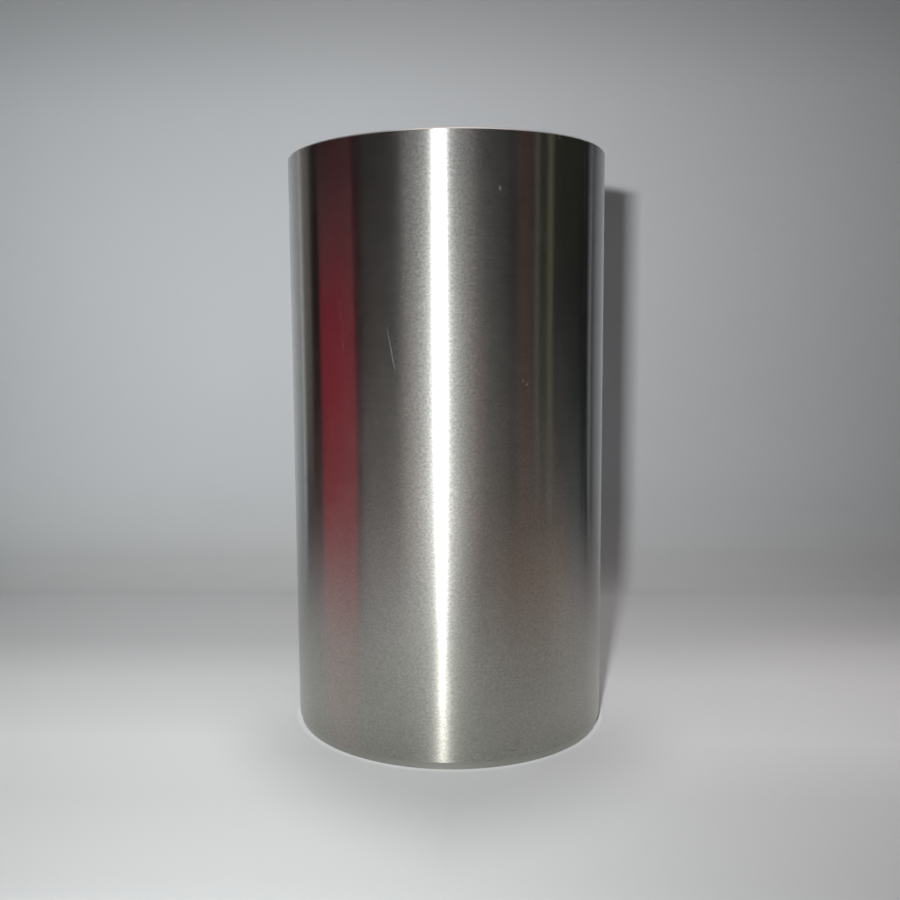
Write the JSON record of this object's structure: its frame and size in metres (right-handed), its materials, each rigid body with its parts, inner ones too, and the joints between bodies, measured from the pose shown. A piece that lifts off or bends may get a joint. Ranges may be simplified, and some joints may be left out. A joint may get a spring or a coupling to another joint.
{
  "type": "cylinder liner",
  "caption": "Plain dry cylinder liner: a thin cast iron sleeve with a ground outside, a honed bore, and a tapered foot for pressing into an engine block.",
  "frame": {"origin": "centre of the foot's flat land, where the liner stands, on the bore axis", "axes": "+Z along the bore axis, from the foot up to the end that meets the cylinder head; X and Y lie across the bore"},
  "size_m": [0.107, 0.107, 0.193],
  "materials": {
    "machined_iron": "ground outside, honed bore"
  },
  "bodies": {
    "root": {"cylinder_liner": "machined_iron"}
  },
  "joints": []
}
